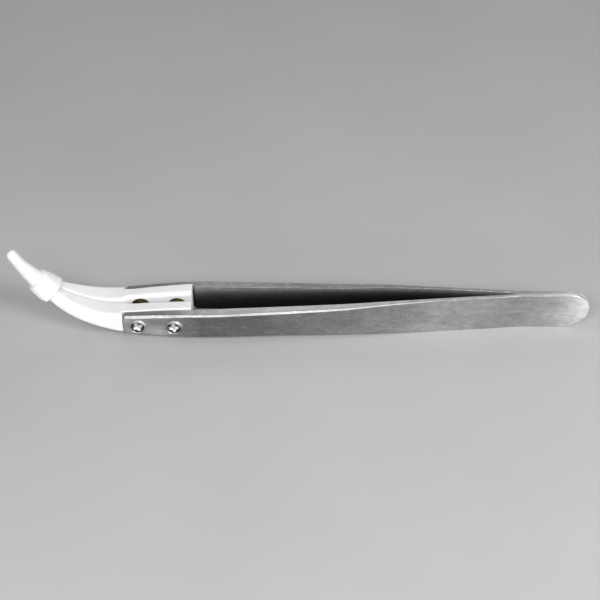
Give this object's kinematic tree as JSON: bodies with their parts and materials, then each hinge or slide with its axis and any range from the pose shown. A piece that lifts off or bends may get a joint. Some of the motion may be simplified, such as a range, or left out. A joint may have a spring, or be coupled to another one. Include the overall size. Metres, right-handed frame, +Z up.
{
  "type": "curved ceramic-tip tweezers",
  "caption": "Spring tweezers with flat steel arms joined at the tail, screwed-on white ceramic tips that curve upward, and a soft tapered cap over the points.",
  "frame": {"origin": "under the middle of the closed, capped tweezers: the centre of the bounding box in X and Y, on the plane the arms' lower edges lie on", "axes": "+X along the length towards the joined tail, with the tips at -X; +Y across, the direction the arms open in, towards the right arm; +Z up, towards the side the tips curve to"},
  "size_m": [0.1326, 0.0128, 0.0218],
  "materials": {
    "arm_steel": "fine cross-brushed satin stainless steel with polished edge bevels",
    "tip_ceramic": "smooth satin white zirconia-type ceramic",
    "screw_steel": "bright plain steel cross-head screw",
    "insert_brass": "dull dark brass",
    "cap_soft": "soft milky white silicone or soft plastic"
  },
  "bodies": {
    "right_side": {"right_arm": "arm_steel", "right_tip": "tip_ceramic", "right_screw_front": "screw_steel", "right_screw_rear": "screw_steel", "right_insert_front": "insert_brass", "right_insert_rear": "insert_brass"},
    "left_side": {"left_arm": "arm_steel", "left_tip": "tip_ceramic", "left_screw_front": "screw_steel", "left_screw_rear": "screw_steel", "left_insert_front": "insert_brass", "left_insert_rear": "insert_brass"},
    "cap": {"tip_cap": "cap_soft"}
  },
  "joints": [
    {"name": "arm_squeeze", "type": "hinge", "parent": "right_side", "child": "left_side", "pos_m": [0.06635, 0, 0.00468], "axis": [0, 0, 1], "range_deg": [0, 4.3]},
    {"name": "cap_pull", "type": "slide", "parent": "right_side", "child": "cap", "axis": [-0.6658, -0.0995, 0.7395], "range_m": [0, 0.05]}
  ],
  "couplings": [
    {"joint": "cap_pull", "follows": "arm_squeeze", "m_per_rad": 0.666}
  ]
}
